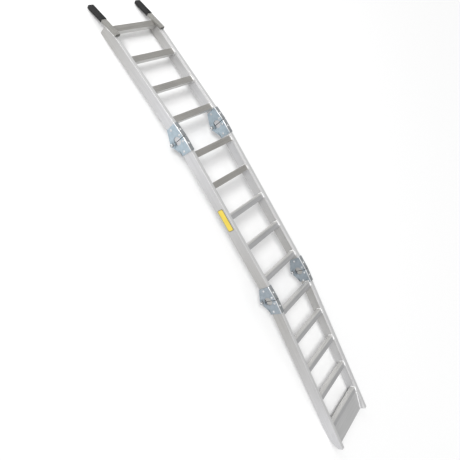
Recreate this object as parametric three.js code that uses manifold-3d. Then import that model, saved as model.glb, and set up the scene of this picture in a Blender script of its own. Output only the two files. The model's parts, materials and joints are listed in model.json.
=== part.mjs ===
// Three-section folding loading ramp, modelled unfolded as a shallow arch.
// Millimetres. X runs from the truck end down to the ground end, Y runs from
// the left rail to the right rail, Z is up. The ramp stands on its two ends.
import * as THREE from 'three';
import { mergeVertices } from 'three/addons/utils/BufferGeometryUtils.js';
import Module from 'manifold-3d';

const wasm = await Module();
wasm.setup();

// ---------- driving dimensions ----------
const FIT = 0.3;                 // working gap between touching pieces
const RAMP_WIDTH = 304.8;        // over the two rails
const RUNG_PITCH = 152.4;
const ARCH = THREE.MathUtils.degToRad(6.9);   // bend at each fold

const RAIL = { width: 18, height: 54, wall: 2.5 };
const TOP_LENGTH = 562;
const MIDDLE_LENGTH = 802;
const BOTTOM_LENGTH = 806;
const NOSE = { start: 737, rise: 29, sole: 2.7 };   // underside bevel at the ground end

const RUNG = { width: 28, height: 23, wall: 2.4, drop: 9, ribs: 5, rib: 1.4 };
const RIB = { foot: 0.25, crest: 0.38 };      // shares of one rib pitch, from either side
const TOP_RUNGS = rungStarts(4, 71);
const MIDDLE_RUNGS = rungStarts(5, 74.5);
MIDDLE_RUNGS[4] += 8;            // the last one sits closer to the fold
const BOTTOM_RUNGS = rungStarts(5, 61.5);

const TOE = { thick: 3, dropAtRung: 10, dropAtEnd: 27 };

const FINGER = { width: 25.4, height: 12.7, wall: 2, start: 497, length: 179 };
const DROOP = THREE.MathUtils.degToRad(11);
const SLEEVE = { wall: 1.6, length: 88, cap: 3 };

const LEAF = { length: 67, thick: 3, gap: 1, innerAtRung: 57 };
const PIVOT_DROP = 75;           // fold axis below the rail tops
const EAR = { radius: 14, arm: 17, tangent: 4, low: 0.6, window: 38, stripStart: 38.5 };
const PIN = { radius: 5, head: 8, headThick: 11, soft: 1.2 };
const SPACER_RADIUS = 9;
const RIVET = { radius: 3, head: 5.6, headHeight: 2.4, crown: 0.6, shoulder: 0.8 };
const RIVETS = [{ reach: 15, drop: 11 }, { reach: 54, drop: 35 }];
const STUD = { reach: 33, radius: 4.2, crown: 2.6, height: 1.5 };   // raised head on a leaf's flange

const LABEL = { reach: 395, drop: 26, length: 104, height: 32, thick: 0.6, corner: 7 };

function rungStarts(count, first) {
  return Array.from({ length: count }, (_, i) => first + i * RUNG_PITCH);
}

// ---------- colours ----------
const PAINT = {
  aluminium: { color: 0xc9ccce, roughness: 0.42, metalness: 0.85 },
  zinc: { color: 0xb0bcc4, roughness: 0.38, metalness: 0.85 },
  steel: { color: 0xa4abb0, roughness: 0.35, metalness: 0.9 },
  rubber: { color: 0x2b2b2d, roughness: 0.85, metalness: 0 },
  label: { color: 0xd9b43a, roughness: 0.5, metalness: 0 },
};

// ---------- solid helpers ----------
function toSolid(geometry) {
  const g = geometry.index ? geometry.toNonIndexed() : geometry.clone();
  g.deleteAttribute('normal');
  g.deleteAttribute('uv');
  const merged = mergeVertices(g, 1e-4);
  return new wasm.Manifold(new wasm.Mesh({
    numProp: 3,
    vertProperties: new Float32Array(merged.attributes.position.array),
    triVerts: new Uint32Array(merged.index.array),
  }));
}

function toGeometry(solid) {
  const mesh = solid.getMesh();
  const g = new THREE.BufferGeometry();
  const corners = new Float32Array(mesh.triVerts.length * 3);
  mesh.triVerts.forEach((v, i) => {
    for (let k = 0; k < 3; k += 1) corners[i * 3 + k] = mesh.vertProperties[v * mesh.numProp + k];
  });
  g.setAttribute('position', new THREE.BufferAttribute(corners, 3));
  g.computeVertexNormals();
  return g;
}

// Side profile [along, up] points, thickened across the ramp from y0 to y1.
function sidePlate(points, y0, y1) {
  const shape = new THREE.Shape(points.map(([x, z]) => new THREE.Vector2(x, z)));
  const g = new THREE.ExtrudeGeometry(shape, { depth: y1 - y0, bevelEnabled: false });
  g.rotateX(Math.PI / 2);
  g.translate(0, y1, 0);
  return toSolid(g);
}

function block(x0, x1, y0, y1, z0, z1) {
  return sidePlate([[x0, z0], [x1, z0], [x1, z1], [x0, z1]], y0, y1);
}

// Round bar lying across the ramp.
function crossBar(x, z, radius, y0, y1, segments) {
  const g = new THREE.CylinderGeometry(radius, radius, y1 - y0, segments);
  g.translate(x, (y0 + y1) / 2, z);
  return toSolid(g);
}

// Turned profile [radius, across] points, spun about a line across the ramp.
function turned(profile, x, z, segments) {
  const g = new THREE.LatheGeometry(profile.map(([r, y]) => new THREE.Vector2(r, y)), segments);
  g.translate(x, 0, z);
  return toSolid(g);
}

function joined(solids) {
  return solids.reduce((whole, next) => whole.add(next));
}

// ---------- where each section sits ----------
// Every section is drawn in its own frame: rail tops at z = 0 and the fold's top
// edge at x = 0. The top section reaches towards -x, the other two towards +x.
// At a fold both ends are mitred on the plane that holds the pivot.
const MITRE = Math.tan(ARCH / 2);
const PIVOT_SET = PIVOT_DROP * MITRE;
const turn = (angle) => new THREE.Matrix4().makeRotationY(angle);
const shift = (x, y, z) => new THREE.Matrix4().makeTranslation(x, y, z);

const sectionPlace = {
  top: turn(-ARCH),
  middle: new THREE.Matrix4(),
  bottom: shift(MIDDLE_LENGTH, 0, 0).multiply(turn(ARCH)),
};
const truckFoot = new THREE.Vector3(-TOP_LENGTH, 0, -RAIL.height).applyMatrix4(sectionPlace.top);
const groundFoot = new THREE.Vector3(NOSE.start, 0, -RAIL.height).applyMatrix4(sectionPlace.bottom);
const level = turn(Math.atan2(groundFoot.z - truckFoot.z, groundFoot.x - truckFoot.x));
const TOP = level.clone().multiply(sectionPlace.top);
const MIDDLE = level.clone().multiply(sectionPlace.middle);
const MIDDLE_END = MIDDLE.clone().multiply(shift(MIDDLE_LENGTH, 0, 0));
const BOTTOM = level.clone().multiply(sectionPlace.bottom);

const left = { y0: 0, y1: RAIL.width };
const right = { y0: RAMP_WIDTH - RAIL.width, y1: RAMP_WIDTH };
const innerStart = RAIL.width + FIT;
const innerEnd = RAMP_WIDTH - RAIL.width - FIT;

const group = new THREE.Group();
group.name = 'folding_loading_ramp';

function addPiece(name, solid, paint, place) {
  const mesh = new THREE.Mesh(toGeometry(solid), new THREE.MeshStandardMaterial(PAINT[paint]));
  mesh.name = name;
  mesh.geometry.applyMatrix4(place);
  group.add(mesh);
}

// Cuts a section's end back to the mitre plane of a fold at x = butt. The section
// itself lies on the side given by direction.
function mitreWaste(butt, direction, gap, y0, y1) {
  const low = -RAIL.height - 10;
  const high = 10;
  const edge = (z) => butt + direction * (gap / 2 - z * MITRE);
  const away = butt - direction * 30;
  return sidePlate([[away, low], [edge(low), low], [edge(high), high], [away, high]], y0, y1);
}

// ---------- rails ----------
// Closed box tube, mitred and drilled for the leaf rivets at each of its folds.
function railTube(x0, x1, side, folds) {
  const w = RAIL.wall;
  const outside = block(x0, x1, side.y0, side.y1, -RAIL.height, 0);
  const bore = block(x0 - 1, x1 + 1, side.y0 + w, side.y1 - w, w - RAIL.height, -w);
  let tube = outside.subtract(bore);
  folds.forEach(({ butt, direction }) => {
    tube = tube.subtract(mitreWaste(butt, direction, LEAF.gap, side.y0 - 1, side.y1 + 1));
    RIVETS.forEach(({ reach, drop }) => {
      const x = butt + direction * reach;
      tube = tube.subtract(crossBar(x, -drop, RIVET.radius + FIT, side.y0 - 1, side.y1 + 1, 12));
    });
  });
  return tube;
}

// The rails' underside is cut to a flat slope where it meets the ground, and the
// cut is closed by a sole.
function withNose(tube, side) {
  const low = -RAIL.height;
  const far = BOTTOM_LENGTH + 5;
  const slope = NOSE.rise / (BOTTOM_LENGTH - NOSE.start);
  const waste = sidePlate([
    [NOSE.start, low], [NOSE.start, low - 5], [far, low - 5], [far, low + slope * (far - NOSE.start)],
  ], side.y0 - 1, side.y1 + 1);
  const heel = low + NOSE.rise;
  const sole = sidePlate([
    [NOSE.start, low], [BOTTOM_LENGTH, heel],
    [BOTTOM_LENGTH, heel + NOSE.sole], [NOSE.start, low + NOSE.sole],
  ], side.y0, side.y1);
  return tube.subtract(waste).add(sole);
}

// ---------- rungs ----------
// Hollow cross bar with grip ribs standing on its tread.
function rung(x) {
  const top = -RUNG.drop;
  const low = top - RUNG.height;
  const step = RUNG.width / RUNG.ribs;
  const outline = [[x, low], [x + RUNG.width, low], [x + RUNG.width, top]];
  for (let i = RUNG.ribs - 1; i >= 0; i -= 1) {
    const x0 = x + i * step;
    outline.push([x0 + step * (1 - RIB.foot), top], [x0 + step * (1 - RIB.crest), top + RUNG.rib]);
    outline.push([x0 + step * RIB.crest, top + RUNG.rib], [x0 + step * RIB.foot, top]);
  }
  outline.push([x, top]);
  const w = RUNG.wall;
  const bore = block(x + w, x + RUNG.width - w, innerStart - 1, innerEnd + 1, low + w, top - w);
  return sidePlate(outline, innerStart, innerEnd).subtract(bore);
}

function rungSolids(starts, direction) {
  return starts.map((near) => rung(direction > 0 ? near : -near - RUNG.width));
}

function addRungs(section, solids, place) {
  solids.forEach((solid, i) => addPiece(`${section}_rung_${i + 1}`, solid, 'aluminium', place));
}

// ---------- fold hinges ----------
// A leaf is a folded channel over the rail: two cheeks and a top flange. A round
// window clears the pivot, and an arm on each cheek runs down to the pivot ear.
function cheek(direction, y0, y1, foot, length) {
  const window = crossBar(direction * PIVOT_SET, -PIVOT_DROP, EAR.window, y0 - 1, y1 + 1, 40);
  return block(...spanOf(direction, -1, length), y0, y1, foot, FIT + LEAF.thick).subtract(window);
}

function spanOf(direction, near, far) {
  return direction > 0 ? [near, far] : [-far, -near];
}

function pivotEar(direction, y0, y1) {
  const corner = new THREE.Vector2(LEAF.length, -RAIL.height);
  const boss = new THREE.Vector2(PIVOT_SET + EAR.tangent, EAR.low - PIVOT_DROP - EAR.radius);
  const run = boss.clone().sub(corner).normalize();
  const across = new THREE.Vector2(run.y, -run.x).multiplyScalar(EAR.arm);
  const outline = [corner, corner.clone().add(across), boss.clone().add(across), boss];
  const arm = sidePlate(outline.map((p) => [direction * p.x, p.y]), y0, y1);
  const disc = crossBar(direction * PIVOT_SET, -PIVOT_DROP, EAR.radius, y0, y1, 28);
  return arm.add(disc);
}

// Ears that pass inside the mating leaf's, hung from a strip under the rail.
function tuckedEars(side, direction) {
  const under = -RAIL.height - FIT;
  const t = LEAF.thick;
  const below = block(-LEAF.length - 30, LEAF.length + 30, side.y0, side.y1, -PIVOT_DROP * 2, under);
  const ears = [side.y0 + FIT, side.y1 - FIT - t]
    .map((y) => pivotEar(direction, y, y + t).intersect(below));
  const strip = block(...spanOf(direction, EAR.stripStart, LEAF.length),
    side.y0 - FIT - t, side.y1 + FIT + t, under - t, under);
  return [...ears, strip];
}

// Raised head in the middle of a leaf's flange.
function flangeStud(side, x) {
  const base = FIT + LEAF.thick / 2;
  const top = FIT + LEAF.thick + STUD.height;
  const g = new THREE.CylinderGeometry(STUD.crown, STUD.radius, top - base, 12);
  g.rotateX(Math.PI / 2);
  g.translate(x, (side.y0 + side.y1) / 2, (base + top) / 2);
  return toSolid(g);
}

function leaf(side, direction, outerEars, innerLength) {
  const t = LEAF.thick;
  const planes = [side.y0 - FIT - t, side.y1 + FIT];
  const inside = side === left ? 1 : 0;
  const foot = outerEars ? -RAIL.height : -RAIL.height - FIT - t;
  const parts = planes.map((y, i) => cheek(
    direction, y, y + t, foot, i === inside ? innerLength : LEAF.length));
  parts.push(block(...spanOf(direction, -1, LEAF.length), planes[0], planes[1] + t, FIT, FIT + t));
  parts.push(flangeStud(side, direction * STUD.reach));
  const waste = mitreWaste(0, direction, LEAF.gap, planes[0] - 1, planes[1] + t + 1);
  const channel = joined(parts).subtract(waste);
  const ears = outerEars ? planes.map((y) => pivotEar(direction, y, y + t)) : tuckedEars(side, direction);
  let whole = joined([channel, ...ears]);
  const drill = (x, z, radius) => crossBar(x, z, radius, planes[0] - 5, planes[1] + t + 5, 16);
  whole = whole.subtract(drill(direction * PIVOT_SET, -PIVOT_DROP, PIN.radius + FIT));
  RIVETS.forEach(({ reach, drop }) => {
    whole = whole.subtract(drill(direction * reach, -drop, RIVET.radius + FIT));
  });
  return whole;
}

function pivotPin(side, x) {
  const face0 = side.y0 - FIT * 2 - LEAF.thick;
  const face1 = side.y1 + FIT * 2 + LEAF.thick;
  const t = PIN.headThick;
  const { soft } = PIN;
  return turned([
    [0, face0 - t], [PIN.head - soft, face0 - t], [PIN.head, face0 - t + soft], [PIN.head, face0],
    [PIN.radius, face0], [PIN.radius, face1],
    [PIN.head, face1], [PIN.head, face1 + t - soft], [PIN.head - soft, face1 + t], [0, face1 + t],
  ], x, -PIVOT_DROP, 20);
}

function spacer(side, x) {
  const y0 = side.y0 + FIT * 2 + LEAF.thick;
  const y1 = side.y1 - FIT * 2 - LEAF.thick;
  const barrel = crossBar(x, -PIVOT_DROP, SPACER_RADIUS, y0, y1, 20);
  return barrel.subtract(crossBar(x, -PIVOT_DROP, PIN.radius + FIT, y0 - 1, y1 + 1, 20));
}

function rivet(side, x, drop) {
  const face0 = side.y0 - FIT * 2 - LEAF.thick;
  const face1 = side.y1 + FIT * 2 + LEAF.thick;
  const h = RIVET.headHeight;
  const crown = RIVET.head * RIVET.crown;
  const shoulder = h * RIVET.shoulder;
  return turned([
    [0, face0 - h], [crown, face0 - shoulder], [RIVET.head, face0],
    [RIVET.radius, face0], [RIVET.radius, face1],
    [RIVET.head, face1], [crown, face1 + shoulder], [0, face1 + h],
  ], x, -drop, 10);
}

// One hinge. The upper leaf carries the outer ears, the lower leaf the tucked ones.
function addHinge(name, side, upper, lower, pinX, pinPlace) {
  const upperLeaf = leaf(side, -1, true, LEAF.length);
  const lowerLeaf = leaf(side, 1, false, lower.innerLength);
  addPiece(`${name}_${upper.section}_leaf`, upperLeaf, 'zinc', upper.place);
  addPiece(`${name}_${lower.section}_leaf`, lowerLeaf, 'zinc', lower.place);
  addPiece(`${name}_pin`, pivotPin(side, pinX), 'steel', pinPlace);
  addPiece(`${name}_spacer`, spacer(side, pinX), 'steel', pinPlace);
  RIVETS.forEach(({ reach, drop }, i) => {
    addPiece(`${name}_${upper.section}_rivet_${i + 1}`, rivet(side, -reach, drop), 'steel', upper.place);
    addPiece(`${name}_${lower.section}_rivet_${i + 1}`, rivet(side, reach, drop), 'steel', lower.place);
  });
}

// ---------- truck-end fingers ----------
// A finger is a flat tube lying on the rail top, which is cut down at the droop
// angle to seat it. Distances run up the finger, heights stand off its underside.
function slanted(near, far, low, high, y0, y1) {
  const corner = (reach, height) => [
    -FINGER.start - Math.cos(DROOP) * reach - Math.sin(DROOP) * height,
    -Math.sin(DROOP) * reach + Math.cos(DROOP) * height,
  ];
  return sidePlate([corner(far, low), corner(near, low), corner(near, high), corner(far, high)], y0, y1);
}

function fingerSpan(side) {
  return side === left ? [0, FINGER.width] : [RAMP_WIDTH - FINGER.width, RAMP_WIDTH];
}

function finger(side) {
  const [y0, y1] = fingerSpan(side);
  const w = FINGER.wall;
  const end = FINGER.length - SLEEVE.cap - FIT;
  const top = FIT + FINGER.height;
  const outside = slanted(0, end, FIT, top, y0, y1);
  return outside.subtract(slanted(-5, end + 5, FIT + w, top - w, y0 + w, y1 - w));
}

// Space a finger takes out of the rail top and the last rung.
function fingerSeat(side) {
  const [y0, y1] = fingerSpan(side);
  return slanted(0, FINGER.length, 0, FINGER.height * 2, y0 - FIT, y1 + FIT);
}

function sleeve(side) {
  const [y0, y1] = fingerSpan(side);
  const near = FINGER.length - SLEEVE.length;
  const out = SLEEVE.wall + FIT;
  const top = FIT + FINGER.height;
  const body = slanted(near, FINGER.length, FIT - out, top + out, y0 - out, y1 + out);
  const bore = slanted(near - 5, FINGER.length - SLEEVE.cap, 0, top + FIT, y0 - FIT, y1 + FIT);
  return body.subtract(bore);
}

// ---------- toe plate ----------
function toePlate() {
  const x0 = BOTTOM_RUNGS.at(-1) + RUNG.width + FIT;
  const x1 = BOTTOM_LENGTH;
  const z0 = -TOE.dropAtRung;
  const z1 = -TOE.dropAtEnd;
  const outline = [[x0, z0 - TOE.thick], [x1, z1 - TOE.thick], [x1, z1], [x0, z0]];
  return sidePlate(outline, innerStart, innerEnd);
}

// ---------- blank label on the left rail ----------
function label() {
  const x = LABEL.reach;
  const z = -LABEL.drop;
  const w = LABEL.length / 2;
  const h = LABEL.height / 2;
  const r = LABEL.corner;
  const outline = [];
  [[w, h, 0], [-w, h, 1], [-w, -h, 2], [w, -h, 3]].forEach(([cx, cz, quarter]) => {
    for (let i = 0; i <= 4; i += 1) {
      const a = (quarter + i / 4) * Math.PI / 2;
      outline.push([
        x + cx - Math.sign(cx) * r + Math.cos(a) * r,
        z + cz - Math.sign(cz) * r + Math.sin(a) * r,
      ]);
    }
  });
  return sidePlate(outline, -FIT - LABEL.thick, -FIT);
}

// ---------- assembly ----------
Object.entries({ left, right }).forEach(([word, side]) => {
  const topRail = railTube(-TOP_LENGTH, 0, side, [{ butt: 0, direction: -1 }]).subtract(fingerSeat(side));
  const middleRail = railTube(0, MIDDLE_LENGTH, side, [
    { butt: 0, direction: 1 }, { butt: MIDDLE_LENGTH, direction: -1 },
  ]);
  const bottomRail = railTube(0, BOTTOM_LENGTH, side, [{ butt: 0, direction: 1 }]);
  addPiece(`top_${word}_rail`, topRail, 'aluminium', TOP);
  addPiece(`middle_${word}_rail`, middleRail, 'aluminium', MIDDLE);
  addPiece(`bottom_${word}_rail`, withNose(bottomRail, side), 'aluminium', BOTTOM);
  addPiece(`top_${word}_finger`, finger(side), 'aluminium', TOP);
  addPiece(`top_${word}_sleeve`, sleeve(side), 'rubber', TOP);
  addHinge(`upper_${word}_hinge`, side, { section: 'top', place: TOP },
    { section: 'middle', place: MIDDLE, innerLength: LEAF.length }, PIVOT_SET, MIDDLE);
  addHinge(`lower_${word}_hinge`, side, { section: 'middle', place: MIDDLE_END },
    { section: 'bottom', place: BOTTOM, innerLength: LEAF.innerAtRung }, -PIVOT_SET, MIDDLE_END);
});
const topRungs = rungSolids(TOP_RUNGS, -1);
topRungs.push(topRungs.pop().subtract(fingerSeat(left)).subtract(fingerSeat(right)));
addRungs('top', topRungs, TOP);
addRungs('middle', rungSolids(MIDDLE_RUNGS, 1), MIDDLE);
addRungs('bottom', rungSolids(BOTTOM_RUNGS, 1), BOTTOM);
addPiece('bottom_toe_plate', toePlate(), 'aluminium', BOTTOM);
addPiece('middle_label', label(), 'label', MIDDLE);

// Put the middle of the footprint at the origin, with the two ends on z = 0.
const bounds = new THREE.Box3().setFromObject(group);
const centre = bounds.getCenter(new THREE.Vector3());
group.children.forEach((mesh) => mesh.geometry.translate(-centre.x, -centre.y, -bounds.min.z));

export default group;
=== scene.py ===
"""Three-section folding loading ramp: box rails, ribbed rungs, pressed hinge leaves, coated fingers."""
import json
import math
import random

import bmesh
import bpy
from mathutils import Matrix, Vector


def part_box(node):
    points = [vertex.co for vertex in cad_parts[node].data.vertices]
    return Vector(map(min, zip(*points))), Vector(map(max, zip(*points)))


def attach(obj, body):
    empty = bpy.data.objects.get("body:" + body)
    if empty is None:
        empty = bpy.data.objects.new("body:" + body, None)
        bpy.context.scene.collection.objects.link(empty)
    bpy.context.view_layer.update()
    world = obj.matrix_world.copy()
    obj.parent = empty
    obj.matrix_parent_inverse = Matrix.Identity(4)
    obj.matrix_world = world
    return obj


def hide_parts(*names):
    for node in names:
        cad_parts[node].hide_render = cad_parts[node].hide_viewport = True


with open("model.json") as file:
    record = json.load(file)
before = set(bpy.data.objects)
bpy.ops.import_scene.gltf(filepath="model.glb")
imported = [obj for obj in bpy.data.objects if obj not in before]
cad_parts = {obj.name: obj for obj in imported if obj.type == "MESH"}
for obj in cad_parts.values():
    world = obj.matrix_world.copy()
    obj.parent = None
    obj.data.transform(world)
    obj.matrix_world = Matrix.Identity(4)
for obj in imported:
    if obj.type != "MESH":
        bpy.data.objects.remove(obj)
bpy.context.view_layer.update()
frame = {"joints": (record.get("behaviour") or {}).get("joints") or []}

MM = 0.001

# ---------- sizes of the pieces, millimetres ----------
FIT = 0.3
WIDTH = 304.8
ARCH = math.radians(6.9)
PITCH = 152.4

RAIL_WIDTH, RAIL_HEIGHT, RAIL_WALL, RAIL_CORNER = 18.0, 54.0, 2.5, 1.8
TOP_LENGTH, MIDDLE_LENGTH, BOTTOM_LENGTH = 562.0, 802.0, 806.0
GROOVE_DROP, GROOVE_DEPTH, GROOVE_MOUTH, GROOVE_BED = 11.0, 0.9, 0.9, 0.3
NOSE_START, NOSE_RISE, SOLE = 737.0, 29.0, 2.7

RUNG_WIDTH, RUNG_HEIGHT, RUNG_DROP = 28.0, 23.0, 9.0
RUNG_CORNER, TREAD_CORNER = 1.6, 1.2
RIBS, RIB_HEIGHT, RIB_FOOT, RIB_CREST, RIB_CORNER = 5, 1.4, 0.25, 0.38, 0.5
FACE_BEAD, TREAD_BEAD = 2.2, 4.2
TREAD_FOOT_DROP = 3.4
TOP_RUNGS = [71.0 + PITCH * i for i in range(4)]
MIDDLE_RUNGS = [74.5 + PITCH * i for i in range(4)] + [692.1]
BOTTOM_RUNGS = [61.5 + PITCH * i for i in range(5)]

PIVOT_DROP = 75.0
LEAF_LENGTH, LEAF_THICK, LEAF_GAP, LEAF_SHORT = 67.0, 3.0, 2.6, 57.0
FLANGE_FOOT, FLANGE_BEND, LEAF_RIM = -5.0, 3.4, 0.35
NOTCH_DROP, NOTCH_RADIUS = 40.0, 21.5
EAR_RADIUS, ARM_WIDTH, STRIP_START = 14.0, 17.0, 38.5
RIVETS = [(15.0, 11.0), (54.0, 35.0)]
RIVET_HEAD, RIVET_CROWN, RIVET_SHANK = 5.6, 2.6, 3.0
STUD_REACH, STUD_HEAD, STUD_CROWN = 33.0, 4.2, 1.5
PIN_SHANK, PIN_HOLE, BARREL_RADIUS, BARREL_RIM = 5.0, 5.3, 9.0, 0.5

FINGER_WIDTH, FINGER_HEIGHT, FINGER_WALL = 25.4, 12.7, 2.0
FINGER_START, FINGER_LENGTH = 497.0, 179.0
DROOP = math.radians(11)
SLEEVE_LENGTH, SLEEVE_WALL, SLEEVE_CAP = 88.0, 1.6, 3.0
SLEEVE_CORNER, SLEEVE_LIP, SLEEVE_STEP = 3.2, 0.6, 8.0

TOE_DROP, TOE_FALL, TOE_THICK = 10.0, 17.0, 3.0
LABEL_REACH, LABEL_DROP, LABEL_LENGTH, LABEL_HEIGHT = 395.0, 26.0, 104.0, 32.0
LABEL_CORNER, LABEL_BORDER = 7.0, 2.0

MITRE = math.tan(ARCH / 2)
PIVOT_SET = PIVOT_DROP * MITRE

# ---------- where each section sits, read from the frame ----------
pivots = {j["name"]: Vector(j["pos_m"]) for j in frame["joints"]}
slope = (pivots["lower_fold"] - pivots["upper_fold"]).normalized()
across = Vector((0, 1, 0))
upright = slope.cross(across)
edge_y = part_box("middle_left_rail")[0].y
fold = pivots["upper_fold"] - slope * PIVOT_SET * MM + upright * PIVOT_DROP * MM
fold.y = edge_y
MIDDLE = Matrix([
    (slope.x, across.x, upright.x, fold.x),
    (slope.y, across.y, upright.y, fold.y),
    (slope.z, across.z, upright.z, fold.z),
    (0, 0, 0, 1),
])
TOP = MIDDLE @ Matrix.Rotation(-ARCH, 4, "Y")
MIDDLE_END = MIDDLE @ Matrix.Translation((MIDDLE_LENGTH * MM, 0, 0))
BOTTOM = MIDDLE_END @ Matrix.Rotation(ARCH, 4, "Y")

SIDES = {"left": (0.0, RAIL_WIDTH), "right": (WIDTH - RAIL_WIDTH, WIDTH)}


# ---------- materials ----------
def shader(name, build):
    """A named material; build wires its nodes."""
    mat = bpy.data.materials.new(name)
    mat.use_nodes = True
    nodes, links = mat.node_tree.nodes, mat.node_tree.links
    surface = nodes["Principled BSDF"]
    build(nodes, links, surface)
    return mat


def grain_vector(nodes, links, scale):
    """Each piece's own coordinates, kept from before it was put in place."""
    grain = nodes.new("ShaderNodeAttribute")
    grain.attribute_name = "grain"
    mapping = nodes.new("ShaderNodeMapping")
    mapping.inputs["Scale"].default_value = scale
    links.new(grain.outputs["Vector"], mapping.inputs["Vector"])
    return mapping.outputs["Vector"]


def noise_map(nodes, links, scale, detail):
    tex = nodes.new("ShaderNodeTexNoise")
    tex.inputs["Scale"].default_value = 1.0
    tex.inputs["Detail"].default_value = detail
    tex.inputs["Roughness"].default_value = 0.55
    links.new(grain_vector(nodes, links, scale), tex.inputs["Vector"])
    return tex.outputs["Fac"]


def ramp(nodes, links, fac, low, high, a=0.3, b=0.7):
    """Colour from low to high as the factor goes from a to b."""
    node = nodes.new("ShaderNodeValToRGB")
    node.color_ramp.elements[0].position = a
    node.color_ramp.elements[1].position = b
    node.color_ramp.elements[0].color = (*low, 1)
    node.color_ramp.elements[1].color = (*high, 1)
    links.new(fac, node.inputs["Fac"])
    return node.outputs["Color"]


def mixed(nodes, links, first, second, amount, kind="MULTIPLY"):
    node = nodes.new("ShaderNodeMixRGB")
    node.blend_type = kind
    node.inputs["Fac"].default_value = amount
    links.new(first, node.inputs["Color1"])
    links.new(second, node.inputs["Color2"])
    return node.outputs["Color"]


def grey(value):
    return (value, value, value)


def lengthwise(nodes, links, start, end, first, last):
    """Tint that changes from one colour to another along a section."""
    split = nodes.new("ShaderNodeSeparateXYZ")
    links.new(grain_vector(nodes, links, (1, 1, 1)), split.inputs["Vector"])
    reach = nodes.new("ShaderNodeMapRange")
    reach.inputs["From Min"].default_value = start
    reach.inputs["From Max"].default_value = end
    links.new(split.outputs["X"], reach.inputs["Value"])
    return ramp(nodes, links, reach.outputs["Result"], first, last, 0.0, 1.0)


def metal(name, low, high, rough, streak, metallic, cloud=9.0, bump=0.15, blotch=0.12, drift=None):
    """Streaked metal with faint stains, fine pits and, on request, a tint that drifts along it."""
    def build(nodes, links, surface):
        lines = noise_map(nodes, links, streak, 5)
        patches = noise_map(nodes, links, (cloud, cloud, cloud), 3)
        pits = noise_map(nodes, links, (900, 900, 900), 2)
        colour = ramp(nodes, links, lines, low, high)
        if drift:
            colour = mixed(nodes, links, colour, lengthwise(nodes, links, *drift), 1.0)
        stain = ramp(nodes, links, patches, grey(0.78), grey(1.0), 0.35, 0.62)
        links.new(mixed(nodes, links, colour, stain, blotch), surface.inputs["Base Color"])
        sheen = ramp(nodes, links, patches, grey(rough * 0.85), grey(min(1, rough * 1.2)))
        links.new(sheen, surface.inputs["Roughness"])
        surface.inputs["Metallic"].default_value = metallic
        relief = mixed(nodes, links, ramp(nodes, links, lines, grey(0), grey(1)),
                       ramp(nodes, links, pits, grey(0), grey(1)), 0.4, "MIX")
        bumps = nodes.new("ShaderNodeBump")
        bumps.inputs["Strength"].default_value = bump
        bumps.inputs["Distance"].default_value = 0.0003
        links.new(relief, bumps.inputs["Height"])
        links.new(bumps.outputs["Normal"], surface.inputs["Normal"])
    return shader(name, build)


def coating(name, low, high, rough, scale, bump):
    """Even plastic or vinyl skin with a fine pebble."""
    def build(nodes, links, surface):
        cloud = noise_map(nodes, links, scale, 4)
        links.new(ramp(nodes, links, cloud, low, high), surface.inputs["Base Color"])
        surface.inputs["Roughness"].default_value = rough
        bumps = nodes.new("ShaderNodeBump")
        bumps.inputs["Strength"].default_value = bump
        bumps.inputs["Distance"].default_value = 0.0004
        links.new(noise_map(nodes, links, (700, 700, 700), 3), bumps.inputs["Height"])
        links.new(bumps.outputs["Normal"], surface.inputs["Normal"])
    return shader(name, build)


# Streaks follow a rail or cross with a rung; plating and weld are speckled evenly.
ALONG, CROSSWISE, SPECKLED = (5, 420, 420), (420, 4, 420), (60, 60, 60)
RAIL_LOW, RAIL_HIGH = grey(0.48), grey(0.58)
COOL, WARM = (1.0, 1.0, 1.02), (0.72, 0.71, 0.69)


def rail_metal(section, start, end, first, last):
    return metal(f"{section} rail aluminium", RAIL_LOW, RAIL_HIGH, 0.40, ALONG, 0.4,
                 drift=(start, end, first, last))


def zinc(name, low, high, rough=0.36, blotch=0.3):
    return metal(name, low, high, rough, SPECKLED, 0.5, cloud=22.0, bump=0.1, blotch=blotch)


# Lighter copy of the rail aluminium for the top and upper inner face: painted highlight.
rail_top_highlight_metal = metal("rail top aluminium painted highlight", grey(0.58), grey(0.70), 0.36, ALONG, 0.4)
rail_metals = {
    "top": rail_metal("top", -0.56, -0.1, WARM, COOL),
    "middle": rail_metal("middle", 0.1, 0.75, COOL, WARM),
    "bottom": rail_metal("bottom", 0.1, 0.7, WARM, COOL),
}
rung_metal = metal("rung aluminium", (0.56, 0.555, 0.54), (0.68, 0.675, 0.66), 0.40, CROSSWISE, 0.5)
# Tread colours, warm and cool: darker than the rung's sides, as painted shade.
tread_shade_warm_metal = metal("warm tread aluminium painted shade", (0.35, 0.34, 0.32), (0.46, 0.45, 0.43), 0.46, CROSSWISE, 0.5,
                    blotch=0.3)
tread_shade_cool_metal = metal("cool tread aluminium painted shade", (0.42, 0.42, 0.425), (0.53, 0.53, 0.535), 0.42, CROSSWISE,
                          0.5, blotch=0.2)
finger_metal = metal("finger aluminium", (0.23, 0.225, 0.21), (0.33, 0.325, 0.31), 0.46, ALONG, 0.5,
                     blotch=0.3)
plate_metal = metal("toe plate aluminium", grey(0.53), grey(0.61), 0.42, (260, 6, 260), 0.5)
cheek_zinc = zinc("zinc plated cheek", (0.33, 0.40, 0.45), (0.42, 0.50, 0.56))
lower_cheek_zinc = zinc("zinc plated lower cheek", (0.26, 0.30, 0.335), (0.33, 0.375, 0.415))
# Darker zinc for the flange top: painted shade.
flange_shade_zinc = zinc("zinc plated flange painted shade", (0.27, 0.285, 0.295), (0.37, 0.39, 0.405), rough=0.42)
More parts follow.
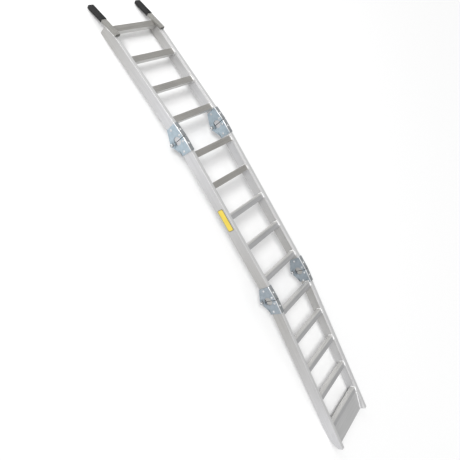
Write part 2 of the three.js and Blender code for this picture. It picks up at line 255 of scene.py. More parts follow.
# Light zinc on the flange bends: painted highlight.
bend_highlight_zinc = zinc("bend painted highlight", (0.70, 0.71, 0.72), (0.86, 0.87, 0.88), rough=0.3, blotch=0.1)
bright_zinc = metal("bright zinc fastener", (0.50, 0.51, 0.52), (0.66, 0.67, 0.68), 0.3, (150, 150, 150), 0.7)
pin_steel = metal("pivot steel", (0.20, 0.20, 0.205), (0.34, 0.34, 0.345), 0.32, (150, 150, 150), 0.6)
dull_weld = metal("burnt weld bead", grey(0.30), (0.72, 0.72, 0.71), 0.4, (260, 260, 260), 0.4,
                  cloud=90.0, bump=0.4)
weld_metal = metal("weld bead", grey(0.74), grey(0.92), 0.34, (300, 300, 300), 0.35, cloud=60.0, bump=0.3)
vinyl = coating("black vinyl", (0.004, 0.004, 0.0045), (0.009, 0.009, 0.0095), 0.75, (60, 60, 60), 0.25)
label_face = coating("blank label", (0.66, 0.50, 0.05), (0.72, 0.55, 0.07), 0.4, (30, 30, 30), 0.03)
label_rim = coating("label border", (0.03, 0.035, 0.045), (0.045, 0.05, 0.06), 0.4, (30, 30, 30), 0.03)
# Near-black for the rail bores and the sheared leaf ends at the butt: painted shade.
painted_shade_dark = coating("painted shade dark", grey(0.02), grey(0.03), 0.8, (30, 30, 30), 0.03)


# ---------- shaping helpers ----------
def rounded(points, radius, steps):
    """Outline with every corner replaced by a small arc; radius may be one number or one per corner."""
    out = []
    count = len(points)
    for i, p in enumerate(points):
        r = radius[i] if isinstance(radius, (list, tuple)) else radius
        here = Vector(p)
        before = Vector(points[i - 1]) - here
        after = Vector(points[(i + 1) % count]) - here
        turn = before.angle(after)
        reach = min(r / math.tan(turn / 2), before.length * 0.45, after.length * 0.45) if turn > 0.02 else 0
        if r <= 0 or reach < 1e-6 or abs(turn - math.pi) < 0.02:
            out.append(tuple(here))
            continue
        a = here + before.normalized() * reach
        b = here + after.normalized() * reach
        for k in range(steps + 1):
            t = k / steps
            out.append(tuple(a * (1 - t) ** 2 + here * 2 * t * (1 - t) + b * t ** 2))
    return out


def arc(cx, cz, radius, start, end, steps):
    """Points of an arc, both ends included."""
    return [
        (cx + radius * math.cos(start + (end - start) * k / steps),
         cz + radius * math.sin(start + (end - start) * k / steps))
        for k in range(steps + 1)
    ]


def loop_edges(bm, points, y):
    """Closed wire of [x, z] points at one y."""
    verts = [bm.verts.new((x * MM, y * MM, z * MM)) for x, z in points]
    return [bm.edges.new((verts[i - 1], verts[i])) for i in range(len(verts))]


def slab(outline, y0, y1, holes=(), soften=0.4, keep_sharp=None):
    """Side profile thickened across the ramp, with its rims softened."""
    bm = bmesh.new()
    edges = loop_edges(bm, outline, y0)
    for hole in holes:
        edges += loop_edges(bm, hole, y0)
    bmesh.ops.triangle_fill(bm, use_beauty=True, use_dissolve=False, edges=edges, normal=(0, -1, 0))
    lifted = bmesh.ops.extrude_face_region(bm, geom=bm.faces[:])
    verts = [v for v in lifted["geom"] if isinstance(v, bmesh.types.BMVert)]
    bmesh.ops.translate(bm, verts=verts, vec=(0, (y1 - y0) * MM, 0))
    bmesh.ops.recalc_face_normals(bm, faces=bm.faces[:])
    if soften:
        soften_edges(bm, soften, keep_sharp)
    return bm


def soften_edges(bm, width, keep_sharp=None):
    """Bevel every edge that turns by more than 30 degrees, except the ones kept sharp."""
    rims = []
    for e in bm.edges:
        if not e.is_manifold or e.calc_face_angle(0) < math.radians(30):
            continue
        if keep_sharp and keep_sharp(e):
            continue
        rims.append(e)
    bmesh.ops.bevel(bm, geom=rims, offset=width * MM, offset_type="OFFSET", segments=2,
                    profile=0.5, affect="EDGES", clamp_overlap=True, material=-1)
    bmesh.ops.remove_doubles(bm, verts=bm.verts[:], dist=1e-6)


def sweep_x(loops, x0, x1):
    """Closed [y, z] loops run along x; the ends are left open for closing after any cuts."""
    bm = bmesh.new()
    for loop in loops:
        first, last = ([bm.verts.new((x * MM, y * MM, z * MM)) for y, z in loop] for x in (x0, x1))
        skin(bm, [first, last])
    return bm


def skin(bm, rings):
    """Faces between each ring of vertices and the next."""
    for a, b in zip(rings, rings[1:]):
        for i in range(len(a)):
            bm.faces.new((a[i - 1], a[i], b[i], b[i - 1]))


def cap(bm):
    """Close what is still open and turn every face outwards."""
    bmesh.ops.holes_fill(bm, edges=[e for e in bm.edges if e.is_boundary], sides=0)
    bmesh.ops.recalc_face_normals(bm, faces=bm.faces[:])


def cut(bm, point, normal):
    """Everything on the side the normal points to is removed."""
    bmesh.ops.bisect_plane(
        bm, geom=bm.verts[:] + bm.edges[:] + bm.faces[:], dist=1e-7,
        plane_co=Vector(point) * MM, plane_no=Vector(normal), clear_outer=True)


def close_ends(bm, split_x, hollow):
    """Rim a tube's open ends, or cap a solid bar's."""
    open_edges = [e for e in bm.edges if e.is_boundary]
    groups = (
        [e for e in open_edges if e.verts[0].co.x < split_x * MM],
        [e for e in open_edges if e.verts[0].co.x >= split_x * MM],
    )
    for group in groups:
        if hollow:
            bmesh.ops.bridge_loops(bm, edges=group)
        else:
            bmesh.ops.holes_fill(bm, edges=group, sides=0)
    bmesh.ops.recalc_face_normals(bm, faces=bm.faces[:])


def box_loop(y0, y1, z0, z1, radius, steps):
    return rounded([(y0, z0), (y1, z0), (y1, z1), (y0, z1)], radius, steps)


def spun(profile, x, z, steps):
    """Profile of (radius, y) turned about a line across the ramp."""
    bm = bmesh.new()
    verts = [bm.verts.new(((x + r) * MM, y * MM, z * MM)) for r, y in profile]
    edges = [bm.edges.new(pair) for pair in zip(verts, verts[1:])]
    bmesh.ops.spin(bm, geom=verts + edges, cent=(x * MM, 0, z * MM), axis=(0, 1, 0), dvec=(0, 0, 0),
                   angle=math.tau, steps=steps, use_merge=True, use_duplicate=False)
    bmesh.ops.remove_doubles(bm, verts=bm.verts[:], dist=1e-6)
    bmesh.ops.recalc_face_normals(bm, faces=bm.faces[:])
    return bm


def bead(points, radius, seed, ripple=2.2):
    """Rippled weld bead along a path of millimetre points, with rounded ends."""
    rng = random.Random(seed)
    path = [Vector(p) for p in points]
    lengths = [(b - a).length for a, b in zip(path, path[1:])]
    total = sum(lengths)
    spacing = 0.9
    count = max(6, int(total / spacing))
    bm = bmesh.new()
    rings = []
    for k in range(count + 1):
        want = total * k / count
        i = 0
        while i < len(lengths) - 1 and want > lengths[i]:
            want -= lengths[i]
            i += 1
        run = (path[i + 1] - path[i]).normalized()
        centre = path[i] + run * want
        side = run.orthogonal().normalized()
        up = run.cross(side)
        end = min(k, count - k) * total / count
        fade = math.sqrt(max(0.05, min(1, end / radius)))
        wave = 0.86 + 0.14 * math.cos(total * k / count / ripple * math.tau)
        size = radius * fade * wave * rng.uniform(0.94, 1.06)
        rings.append([
            bm.verts.new((centre + (side * math.cos(a) + up * math.sin(a)) * size) * MM)
            for a in [math.tau * n / 10 for n in range(10)]
        ])
    skin(bm, rings)
    cap(bm)
    return bm


def gather(parts):
    """Several closed shapes as one piece."""
    whole = bmesh.new()
    for part in parts:
        mesh = bpy.data.meshes.new("part")
        part.to_mesh(mesh)
        part.free()
        whole.from_mesh(mesh)
        bpy.data.meshes.remove(mesh)
    return whole


def piece(name, bm, place, body, material, replaces=(), smooth=35, tone=None):
    """Finish a shape: keep its own lengthwise coordinates for the grain, then put it in place.

    With several materials, tone(face centre in mm, face normal) picks one by its number.
    """
    if isinstance(bm, list):
        bm = gather(bm)
    if tone:
        for face in bm.faces:
            face.material_index = tone(face.calc_center_median() / MM, face.normal)
    grain = bm.verts.layers.float_vector.new("grain")
    for v in bm.verts:
        v[grain] = v.co
    bmesh.ops.transform(bm, matrix=place, verts=bm.verts[:])
    mesh = bpy.data.meshes.new(name)
    bm.to_mesh(mesh)
    bm.free()
    materials = material if isinstance(material, (list, tuple)) else [material]
    for m in materials:
        mesh.materials.append(m)
    mesh.polygons.foreach_set("use_smooth", [True] * len(mesh.polygons))
    mesh.set_sharp_from_angle(angle=math.radians(smooth))
    obj = bpy.data.objects.new(name, mesh)
    bpy.context.scene.collection.objects.link(obj)
    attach(obj, body)
    if replaces:
        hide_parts(*replaces)
    return obj


# ---------- rails ----------
def finger_point(reach, height):
    """Point on a finger: distance up from its lower end, height off its underside."""
    return (
        -FINGER_START - math.cos(DROOP) * reach - math.sin(DROOP) * height,
        -math.sin(DROOP) * reach + math.cos(DROOP) * height,
    )


def rail_tone(side):
    """The bore is near-black as painted shade; the top and the inner face above the groove are lighter as a
    painted highlight.
    """
    y0, y1 = SIDES[side]
    wall = RAIL_WALL - 0.1

    def tone(c, n):
        in_bore = y0 + wall < c.y < y1 - wall and wall - RAIL_HEIGHT < c.z < -wall
        if in_bore:
            return 1
        inner_face = c.y > y1 - 1.5 if side == "left" else c.y < y0 + 1.5
        if c.z > -1.0 or (inner_face and c.z > -GROOVE_DROP):
            return 2
        return 0
    return tone


def rail(side, x0, x1, cuts):
    """Box tube with rounded corners and a shallow groove along its inner face."""
    y0, y1 = SIDES[side]
    wall, corner = RAIL_WALL, RAIL_CORNER
    inner, sign = (y1, -1) if side == "left" else (y0, 1)
    bed = inner + sign * GROOVE_DEPTH
    groove = [(inner, -GROOVE_DROP - GROOVE_MOUTH), (bed, -GROOVE_DROP - GROOVE_BED),
              (bed, -GROOVE_DROP + GROOVE_BED), (inner, -GROOVE_DROP + GROOVE_MOUTH)]
    outline = [(y0, -RAIL_HEIGHT), (y1, -RAIL_HEIGHT), (y1, 0), (y0, 0)]
    if side == "left":
        outline[2:2] = groove
        radii = [corner] * 2 + [0] * 4 + [corner] * 2
    else:
        outline += groove[::-1]
        radii = [corner] * 4 + [0] * 4
    loops = [
        rounded(outline, radii, 5),
        box_loop(y0 + wall, y1 - wall, wall - RAIL_HEIGHT, -wall, 0.8, 2),
    ]
    bm = sweep_x(loops, x0, x1)
    for point, normal in cuts:
        cut(bm, point, normal)
    close_ends(bm, (x0 + x1) / 2, True)
    return bm


def butt_cut(at, direction):
    """The mitred end of a section whose body lies on the side given by direction."""
    return (at + direction * LEAF_GAP / 2, 0, 0), (-direction, 0, -MITRE)


def nose_sole(side):
    """Plate that closes the bevel under a rail's ground end."""
    y0, y1 = SIDES[side]
    heel = NOSE_RISE - RAIL_HEIGHT
    outline = [(NOSE_START, -RAIL_HEIGHT), (BOTTOM_LENGTH, heel), (BOTTOM_LENGTH, heel + SOLE),
               (NOSE_START, SOLE - RAIL_HEIGHT)]
    return slab(outline, y0 + 1, y1 - 1, soften=0)


def rail_piece(section, side, shape, place):
    piece(f"{section}_rail_{side}", shape, place, f"{section}_section",
          [rail_metals[section], painted_shade_dark, rail_top_highlight_metal],
          [f"{section}_{side}_rail"], tone=rail_tone(side))


nose_tilt = math.atan2(NOSE_RISE, BOTTOM_LENGTH - NOSE_START)
nose_bevel = (NOSE_START, 0, -RAIL_HEIGHT), (math.sin(nose_tilt), 0, -math.cos(nose_tilt))
seat_x, seat_z = finger_point(0, 0)
finger_seat = (seat_x, 0, seat_z), (-math.sin(DROOP), 0, math.cos(DROOP))
SPARE = 10.0
for side in SIDES:
    rail_piece("top", side, rail(side, -TOP_LENGTH, SPARE, [butt_cut(0, -1), finger_seat]), TOP)
    rail_piece("middle", side, rail(side, -SPARE, MIDDLE_LENGTH + SPARE,
                                    [butt_cut(0, 1), butt_cut(MIDDLE_LENGTH, -1)]), MIDDLE)
    tube = rail(side, -SPARE, BOTTOM_LENGTH, [butt_cut(0, 1), nose_bevel])
    rail_piece("bottom", side, [tube, nose_sole(side)], BOTTOM)


# ---------- rungs ----------
def rung_outline(x):
    """Bar with rounded lower corners and a ribbed tread."""
    top = -RUNG_DROP
    low = top - RUNG_HEIGHT
    step = RUNG_WIDTH / RIBS
    points = [(x, low), (x + RUNG_WIDTH, low), (x + RUNG_WIDTH, top)]
    for i in reversed(range(RIBS)):
        a = x + i * step
        points += [(a + step * (1 - RIB_FOOT), top), (a + step * (1 - RIB_CREST), top + RIB_HEIGHT)]
        points += [(a + step * RIB_CREST, top + RIB_HEIGHT), (a + step * RIB_FOOT, top)]
    points.append((x, top))
    radii = [RUNG_CORNER] * 2 + [TREAD_CORNER] + [RIB_CORNER] * 4 * RIBS + [TREAD_CORNER]
    return rounded(points, radii, 3)


def rung_welds(x, seed):
    """A bead down both faces and over the tread at each end."""
    beads = []
    top, low = -RUNG_DROP, -RUNG_DROP - RUNG_HEIGHT
    near, far = x - 0.4, x + RUNG_WIDTH + 0.4
    for y in (RAIL_WIDTH + 0.6, WIDTH - RAIL_WIDTH - 0.6):
        around = [(near, y, low + 1), (near, y, top), (far, y, top), (far, y, low + 1)]
        over = [(x + 5, y, top + 1.2), (x + RUNG_WIDTH + 1, y, top + 1.2)]
        beads.append(bead(around, FACE_BEAD, seed + int(y)))
        beads.append(bead(over, TREAD_BEAD, seed + 7 + int(y), 4.5))
    return beads


def tread_tone(x, uphill_rib_lit):
    """Treads take a darker colour than the rung's sides as painted shade; on some rungs the uphill rib keeps
    the sides' lighter colour as a painted highlight.
    """
    def tone(c, n):
        if uphill_rib_lit and c.x < x + RUNG_WIDTH * 0.24:
            return 0
        return int(c.z > -RUNG_DROP - 0.6)
    return tone


def tread_foot(x, y0, y1):
    """Lower part of a rung that runs on under a finger."""
    low, high = -RUNG_DROP - RUNG_HEIGHT, -RUNG_DROP - TREAD_FOOT_DROP
    outline = [(x, low), (x + RUNG_WIDTH, low), (x + RUNG_WIDTH, high), (x, high)]
    return slab(outline, y0, y1, soften=0)


SECTIONS = (
    ("top", TOP_RUNGS, TOP, -1),
    ("middle", MIDDLE_RUNGS, MIDDLE, 1),
    ("bottom", BOTTOM_RUNGS, BOTTOM, 1),
)
for section, starts, place, direction in SECTIONS:
    body = f"{section}_section"
    welds = []
    for i, near in enumerate(starts):
        x = near if direction > 0 else -near - RUNG_WIDTH
        under_finger = section == "top" and i == 3
        rest = FINGER_WIDTH if under_finger else RAIL_WIDTH
        y0, y1 = rest + FIT, WIDTH - rest - FIT
        # These rungs get the cool tread and a painted highlight on the uphill rib.
        cool_tread_lit_rib = section == "bottom" or (section == "middle" and i > 1)
        piece(f"{section}_tread_{i + 1}", slab(rung_outline(x), y0, y1, soften=0), place, body,
              [rung_metal, tread_shade_cool_metal if cool_tread_lit_rib else tread_shade_warm_metal],
              [f"{section}_rung_{i + 1}"], tone=tread_tone(x, cool_tread_lit_rib))
        if under_finger:
            for side, (a, b) in {"left": (RAIL_WIDTH, y0), "right": (y1, WIDTH - RAIL_WIDTH)}.items():
                piece(f"top_tread_foot_{side}", tread_foot(x, a, b), place, body, rung_metal)
        else:
            welds += rung_welds(x, 31 * i + len(section))
    piece(f"{section}_rung_welds", welds, place, body, weld_metal, smooth=60)


# ---------- hinges ----------
PIVOT = (PIVOT_SET, -PIVOT_DROP)
ARM_END = (LEAF_LENGTH, -RAIL_HEIGHT)
ARM_BOSS = (PIVOT_SET + 4, 0.6 - PIVOT_DROP - EAR_RADIUS)
arm_run = (Vector(ARM_BOSS) - Vector(ARM_END)).normalized()
arm_lift = Vector((arm_run.y, -arm_run.x)) * ARM_WIDTH
ARM_TOP_END = tuple(Vector(ARM_END) + arm_lift)
ARM_TOP_BOSS = tuple(Vector(ARM_BOSS) + arm_lift)
BOSS_TOP = (PIVOT_SET - 2.4, EAR_RADIUS - 0.2 - PIVOT_DROP)


def circle_hit(start, end, centre, radius):
    """Where a line first crosses a circle."""
    for k in range(2001):
        p = Vector(start).lerp(Vector(end), k / 2000)
        if (p - Vector(centre)).length <= radius:
            return p
    return Vector(end)


def angle_at(p):
    return math.atan2(p[1] - PIVOT[1], p[0] - PIVOT[0])


def boss_arc(entry):
    """Round the pivot boss, from where an ear meets it to where the arm leaves it."""
    return arc(*PIVOT, EAR_RADIUS, angle_at(entry), angle_at(ARM_BOSS) + math.tau, 30)


def cheek_outline(length, foot, with_arm):
    """One cheek: notched at the butt, and carried down to the pivot on the leaf with outer ears."""
    butt = LEAF_GAP / 2 - FLANGE_FOOT * MITRE
    top = math.acos((LEAF_GAP / 2 + (NOTCH_DROP - NOTCH_RADIUS) * MITRE) / NOTCH_RADIUS)
    end = math.asin((foot + NOTCH_DROP) / NOTCH_RADIUS) if not with_arm else math.radians(-60)
    points = [(butt, FLANGE_FOOT)] + arc(0, -NOTCH_DROP, NOTCH_RADIUS, top, end, 24)
    if with_arm:
        points += boss_arc(BOSS_TOP) + [ARM_END]
    else:
        points.append((length, foot))
    points.append((length, FLANGE_FOOT))
    return points


def tucked_outline():
    """Ear of the other leaf, which hangs from the strip under the rail."""
    under = -RAIL_HEIGHT - FIT

    def level_point(start, end):
        t = (under - start[1]) / (end[1] - start[1])
        return (start[0] + (end[0] - start[0]) * t, under)

    entry = circle_hit(ARM_TOP_END, ARM_TOP_BOSS, PIVOT, EAR_RADIUS)
    return [level_point(ARM_TOP_END, ARM_TOP_BOSS)] + boss_arc(entry) + [level_point(ARM_END, ARM_BOSS)]


def mirrored(points, direction):
    return [(direction * x, z) for x, z in points]


def flange(side, direction, length):
    """Top of the leaf: a bent channel that wraps the rail's upper corners."""
    y0, y1 = SIDES[side]
    t, foot, top = LEAF_THICK, FLANGE_FOOT, FIT + LEAF_THICK
    a, b = y0 - FIT - t, y1 + FIT + t
    outer = rounded([(a, foot), (b, foot), (b, top), (a, top)], [0, 0, FLANGE_BEND, FLANGE_BEND], 6)
    inner = rounded([(a + t, foot), (a + t, FIT), (b - t, FIT), (b - t, foot)], [0, 0.6, 0.6, 0], 2)
    x0, x1 = (-5, length) if direction > 0 else (-length, 5)
    bm = sweep_x([outer[1:] + outer[:1] + inner], x0, x1)
    cut(bm, *butt_cut(0, direction))
    close_ends(bm, direction * length / 2, False)
    lowest = (foot + 0.01) * MM
    soften_edges(bm, LEAF_RIM, lambda e: all(v.co.z < lowest for v in e.verts))
    return bm


def leaf(side, direction, outer_ears, inner_length):
    """Flange, two cheeks and the ears: outer ears are part of the cheeks, tucked ears hang from a strip."""
    y0, y1 = SIDES[side]
    t = LEAF_THICK
    planes = [(y0 - FIT - t, y0 - FIT), (y1 + FIT, y1 + FIT + t)]
    inside = 1 if side == "left" else 0
    foot = -RAIL_HEIGHT - FIT - t
    pin_hole = mirrored(arc(*PIVOT, PIN_HOLE, 0, math.tau * 23 / 24, 23), direction)
    join = (FLANGE_FOOT - 0.01) * MM

    def at_join(e):
        return all(v.co.z > join for v in e.verts)

    parts = [flange(side, direction, LEAF_LENGTH)]
    for i, (a, b) in enumerate(planes):
        length = inner_length if i == inside else LEAF_LENGTH
        outline = mirrored(cheek_outline(length, foot, outer_ears), direction)
        parts.append(slab(outline, a, b, [pin_hole] if outer_ears else [], LEAF_RIM, at_join))
    if not outer_ears:
        for a in (y0 + FIT, y1 - FIT - t):
            parts.append(slab(mirrored(tucked_outline(), direction), a, a + t, [pin_hole], LEAF_RIM))
        x0, x1 = sorted((direction * STRIP_START, direction * inner_length))
        strip = [(x0, foot), (x1, foot), (x1, foot + t), (x0, foot + t)]
        parts.append(slab(strip, planes[0][0], planes[1][1], soften=LEAF_RIM))
    return parts


def leaf_tone(side, direction):
    """Flange darker as painted shade, painted highlight along its bends, pale cheeks, sheared ends at the
    butt near-black as painted shade.
    """
    y0, y1 = SIDES[side]
    bend = FIT + LEAF_THICK - 3.5

    def tone(c, n):
        # Sheared ends at the butt: near-black, painted shade.
        if abs(n.x) > 0.8 and direction * c.x < 8 and c.z > -45:
            return 3
        # Flange top: darker, painted shade.
        if c.z > FIT + LEAF_THICK - 0.05:
            return 1
        # Bend faces: painted highlight.
        outside = c.y < y0 - bend or c.y > y1 + bend
        if c.z > FIT - 0.4 and outside and n.z > 0.1:
            return 2
        return 0
    return tone


def dome(radius, height, base, sign):
    """Rivet head profile from its crown down to its rim."""
    profile = [(radius * math.sin(a), base + sign * height * math.cos(a))
               for a in [math.pi / 2 * k / 6 for k in range(7)]]
    profile[0] = (0, base + sign * height)
    return profile


def rivet(side, x, drop):
    """Through rivet with a domed head on both cheeks."""
    y0, y1 = SIDES[side]
    low, high = y0 - FIT - LEAF_THICK, y1 + FIT + LEAF_THICK
    heads = [dome(RIVET_HEAD, RIVET_CROWN, y, sign) for y, sign in ((low, -1), (high, 1))]
    return spun(heads[0] + [(RIVET_SHANK, low), (RIVET_SHANK, high)] + heads[1][::-1], x, -drop, 28)


def flange_rivet(side, x):
    """Low round head on top of the flange."""
    y = sum(SIDES[side]) / 2
    bm = bmesh.new()
    rings = []
    for a in [math.pi / 2 * k / 5 for k in range(5)]:
        r, z = STUD_HEAD * math.cos(a), FIT + LEAF_THICK + STUD_CROWN * math.sin(a)
        rings.append([
            bm.verts.new(((x + r * math.cos(t)) * MM, (y + r * math.sin(t)) * MM, z * MM))
            for t in [math.tau * n / 24 for n in range(24)]
        ])
    skin(bm, rings)
    cap(bm)
    return bm


# Pin head as (radius, distance out from the cheek): a collar with a recess and a centre boss.
PIN_HEAD = [(0, 8.5), (3.0, 8.5), (3.8, 10.6), (4.6, 10.9), (7.0, 10.9), (7.8, 10.2), (7.9, 7.0),
            (7.0, 6.4), (7.0, 3.2), (7.8, 2.8), (7.9, 0.6), (7.6, 0)]


def pin(side, x):
    y0, y1 = SIDES[side]
    low, high = y0 - 2 * FIT - LEAF_THICK, y1 + 2 * FIT + LEAF_THICK
    near = [(r, low - out) for r, out in PIN_HEAD]
    far = [(r, high + out) for r, out in reversed(PIN_HEAD)]
    return spun(near + [(PIN_SHANK, low), (PIN_SHANK, high)] + far, x, -PIVOT_DROP, 40)


def pin_tone(c, n):
    """End faces bright as a painted highlight, sides darker as painted shade."""
    return int(abs(n.y) > 0.5)


def spacer(side, x):
    """Barrel on the pin, between the tucked ears."""
    y0, y1 = SIDES[side]
    low, high = y0 + 2 * FIT + LEAF_THICK, y1 - 2 * FIT - LEAF_THICK
    rim = BARREL_RIM
    profile = [(PIN_HOLE, low), (BARREL_RADIUS - rim, low), (BARREL_RADIUS, low + rim),
               (BARREL_RADIUS, high - rim), (BARREL_RADIUS - rim, high), (PIN_HOLE, high), (PIN_HOLE, low)]
    return spun(profile, x, -PIVOT_DROP, 32)


# Level, section and place above, section and place below, inner cheek's length, pin's place, plating.
HINGES = (
    ("upper", "top", TOP, "middle", MIDDLE, LEAF_LENGTH, PIVOT_SET, MIDDLE, cheek_zinc),
    ("lower", "middle", MIDDLE_END, "bottom", BOTTOM, LEAF_SHORT, -PIVOT_SET, MIDDLE_END, lower_cheek_zinc),
)
for level, above, above_place, below, below_place, short, pin_x, pin_place, cheek_metal in HINGES:
    for side in SIDES:
        cad = f"{level}_{side}_hinge"
        tag = f"{level}_hinge_{side}"
        halves = ((above, above_place, -1, True, LEAF_LENGTH), (below, below_place, 1, False, short))
        for section, place, direction, ears, inner in halves:
            half, body = f"{tag}_{section}", f"{section}_section"
            piece(f"{half}_plate", leaf(side, direction, ears, inner), place, body,
                  [cheek_metal, flange_shade_zinc, bend_highlight_zinc, painted_shade_dark], [f"{cad}_{section}_leaf"],
                  smooth=40, tone=leaf_tone(side, direction))
            for n, (reach, drop) in enumerate(RIVETS, 1):
                piece(f"{half}_side_rivet_{n}", rivet(side, direction * reach, drop), place, body,
                      bright_zinc, [f"{cad}_{section}_rivet_{n}"])
            piece(f"{half}_flange_rivet", flange_rivet(side, direction * STUD_REACH), place, body,
                  weld_metal)
        # The pin's end faces take the bright zinc as a painted highlight, its sides the dark steel as painted
        # shade.
        piece(f"{tag}_pivot", pin(side, pin_x), pin_place, "middle_section", [pin_steel, bright_zinc],
              [f"{cad}_pin"], tone=pin_tone)
        piece(f"{tag}_barrel", spacer(side, pin_x), pin_place, "middle_section", bright_zinc,
              [f"{cad}_spacer"])


# ---------- fingers and their sleeves ----------
def ribbed_loop(y0, y1, z0, z1, ribs=6, rib=0.5):
    """Flat tube section with shallow lengthwise ribs on its upper face."""
    low = z1 - rib
    points = [(y0, z0), (y1, z0), (y1, low)]
    step = (y1 - y0) / ribs
    for i in reversed(range(ribs)):
        a = y0 + i * step
        points += [(a + step * 0.85, low), (a + step * 0.7, z1), (a + step * 0.3, z1), (a + step * 0.15, low)]
    points.append((y0, low))
    return rounded(points, [1.2, 1.2, 1.0] + [0.25] * (4 * ribs) + [1.0], 2)


def finger(y0, y1):
    """Ribbed flat tube, open at both ends."""
    w = FINGER_WALL
    low, high = FIT, FIT + FINGER_HEIGHT
    end = FINGER_LENGTH - SLEEVE_CAP - FIT
    bore = box_loop(y0 + w, y1 - w, low + w, high - w, 0.8, 2)
    bm = sweep_x([ribbed_loop(y0, y1, low, high), bore], -end, 0)
    close_ends(bm, -end / 2, True)
    return bm


def sleeve(y0, y1):
    """Dipped cover: a bore open towards the ramp, a soft lip and a rounded closed end."""
    low, high = FIT, FIT + FINGER_HEIGHT
    near, far = SLEEVE_LENGTH - FINGER_LENGTH, -FINGER_LENGTH
    out = SLEEVE_WALL + FIT
    mid_y, mid_z = (y0 + y1) / 2, (low + high) / 2
    outside = box_loop(y0 - out, y1 + out, low - out, high + out, SLEEVE_CORNER, 6)
    bore = box_loop(y0 - 0.1, y1 + 0.1, low - 0.1, high + 0.1, 1.2, 6)
    bm = bmesh.new()

    def ring(loop, x, grow=0.0):
        return [bm.verts.new((x * MM, (y + grow * math.copysign(1, y - mid_y)) * MM,
                              (z + grow * math.copysign(1, z - mid_z)) * MM)) for y, z in loop]

    rings = [ring(bore, far + SLEEVE_CAP), ring(bore, near)]
    rings += [ring(outside, near, -SLEEVE_LIP), ring(outside, near - SLEEVE_LIP)]
    middle_rings = int((SLEEVE_LENGTH - 2 * SLEEVE_STEP) / SLEEVE_STEP)
    rings += [ring(outside, near - SLEEVE_STEP * (k + 1)) for k in range(middle_rings)]
    rings += [ring(outside, far + 2.4), ring(outside, far + 1.0, -0.5), ring(outside, far, -1.6)]
    skin(bm, rings)
    cap(bm)
    return bm


def finger_welds(side, y0, y1):
    """Beads along both edges of a finger's seat and across its lower end."""
    outer_y = y0 + 0.2 if side == "left" else y1 - 0.2
    inner_y = RAIL_WIDTH + 0.4 if side == "left" else WIDTH - RAIL_WIDTH - 0.4
    seat_length = (TOP_LENGTH - FINGER_START) / math.cos(DROOP)
    return [
        bead([(-2, outer_y, 0.2), (2 - seat_length, outer_y, 0.2)], 2.4, 5, 5.0),
        bead([(-3, inner_y, -0.4), (16 - seat_length, inner_y, -0.4)], 2.2, 6),
        bead([(0.4, y0 + 3, 0.4), (0.4, y1 - 6, 0.4)], 2.0, 7),
    ]


# A finger is drawn along -x and then laid on the sloping seat.
SEAT = TOP @ Matrix.Translation((seat_x * MM, 0, seat_z * MM)) @ Matrix.Rotation(-DROOP, 4, "Y")
for side in SIDES:
    y0, y1 = (0, FINGER_WIDTH) if side == "left" else (WIDTH - FINGER_WIDTH, WIDTH)
    piece(f"finger_bar_{side}", finger(y0, y1), SEAT, "top_section", finger_metal,
          [f"top_{side}_finger"])
    piece(f"finger_sleeve_{side}", sleeve(y0, y1), SEAT, "top_section", vinyl,
          [f"top_{side}_sleeve"], smooth=50)
    piece(f"finger_welds_{side}", finger_welds(side, y0, y1), SEAT, "top_section", dull_weld,
          smooth=60)


# ---------- toe plate ----------
toe_start = BOTTOM_RUNGS[-1] + RUNG_WIDTH + FIT
toe_end_drop = TOE_DROP + TOE_FALL
toe_outline = [(toe_start, -TOE_DROP - TOE_THICK), (BOTTOM_LENGTH, -toe_end_drop - TOE_THICK),
               (BOTTOM_LENGTH, -toe_end_drop), (toe_start, -TOE_DROP)]
toe = slab(rounded(toe_outline, 0.7, 3), RAIL_WIDTH + FIT, WIDTH - RAIL_WIDTH - FIT, soften=0)
piece("ground_plate", toe, BOTTOM, "bottom_section", plate_metal, ["bottom_toe_plate"])
toe_beads = [bead([(toe_start + 4, y, 0.4 - TOE_DROP), (BOTTOM_LENGTH - 4, y, 1.4 - toe_end_drop)], 3.2,
                  11 + int(y), 3.5)
             for y in (RAIL_WIDTH + 0.6, WIDTH - RAIL_WIDTH - 0.6)]
piece("ground_plate_welds", toe_beads, BOTTOM, "bottom_section", weld_metal, smooth=60)


# ---------- blank label ----------
def label_outline(trim, corner):
    """Rounded rectangle, trimmed all round by the width of the border."""
    reach, rise = LABEL_LENGTH / 2 - trim, LABEL_HEIGHT / 2 - trim
    x0, x1 = LABEL_REACH - reach, LABEL_REACH + reach
    z0, z1 = -LABEL_DROP - rise, -LABEL_DROP + rise
    return rounded([(x0, z0), (x1, z0), (x1, z1), (x0, z1)], corner, 8)


piece("side_label_border", slab(label_outline(0, LABEL_CORNER), -0.85, -0.05, soften=0.15), MIDDLE,
      "middle_section", label_rim, ["middle_label"])
piece("side_label_face", slab(label_outline(LABEL_BORDER, LABEL_CORNER - 1.5), -0.9, -0.6, soften=0), MIDDLE,
      "middle_section", label_face)


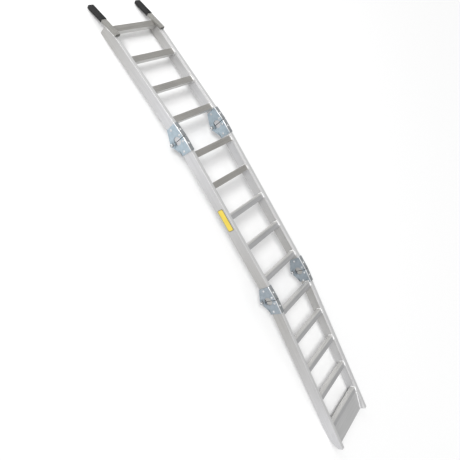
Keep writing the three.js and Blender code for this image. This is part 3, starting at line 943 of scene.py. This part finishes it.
# ---------- floor, light and camera ----------
floor_mesh = bpy.data.meshes.new("floor")
bm = bmesh.new()
bmesh.ops.create_grid(bm, x_segments=2, y_segments=2, size=9)
bm.to_mesh(floor_mesh)
bm.free()
floor = bpy.data.objects.new("floor", floor_mesh)
bpy.context.scene.collection.objects.link(floor)
floor_paint = bpy.data.materials.new("floor paint")
floor_paint.use_nodes = True
floor_shader = floor_paint.node_tree.nodes["Principled BSDF"]
floor_shader.inputs["Base Color"].default_value = (0.93, 0.93, 0.93, 1)
floor_shader.inputs["Roughness"].default_value = 0.9
floor_shader.inputs["Specular IOR Level"].default_value = 0.1
floor_mesh.materials.append(floor_paint)

world = bpy.data.worlds.new("studio")
bpy.context.scene.world = world
world.use_nodes = True
world.node_tree.nodes["Background"].inputs["Color"].default_value = (1.0, 1.0, 1.0, 1)
world.node_tree.nodes["Background"].inputs["Strength"].default_value = 0.5


def soft_light(name, place, aim, size, power):
    """Square area light aimed at a point."""
    data = bpy.data.lights.new(name, "AREA")
    data.shape = "SQUARE"
    data.size = size
    data.energy = power
    lamp = bpy.data.objects.new(name, data)
    lamp.location = place
    lamp.rotation_euler = (Vector(aim) - Vector(place)).to_track_quat("-Z", "Y").to_euler()
    bpy.context.scene.collection.objects.link(lamp)


soft_light("side light", (-3.0, -0.6, 1.3), (0.2, 0, 0.05), 2.0, 30)
softbox_data = bpy.data.lights.new("large softbox", "SUN")
softbox_data.energy = 2.45
softbox_data.angle = math.radians(24)
softbox = bpy.data.objects.new("large softbox", softbox_data)
softbox.rotation_euler = Vector((0.30, 0.66, -0.69)).to_track_quat("-Z", "Y").to_euler()
bpy.context.scene.collection.objects.link(softbox)

# The camera is held in the middle section's frame: where it stands, then its right, up and back.
eye = Vector((212.74, -1505.55, 1411.32)) * MM
right = Vector((0.490104, 0.563274, 0.665223))
up = -Vector((0.864930, -0.408941, -0.290970))
back = -Vector((0.108141, 0.717976, -0.687616))
view = Matrix([
    (right.x, up.x, back.x, eye.x),
    (right.y, up.y, back.y, eye.y),
    (right.z, up.z, back.z, eye.z),
    (0, 0, 0, 1),
])
camera_data = bpy.data.cameras.new("camera")
camera_data.sensor_width = 36.0
camera_data.lens = 36.0 * 486.7 / 460.0
camera = bpy.data.objects.new("camera", camera_data)
bpy.context.scene.collection.objects.link(camera)
camera.matrix_world = MIDDLE @ view
bpy.context.scene.camera = camera
bpy.context.scene.view_settings.view_transform = "Standard"
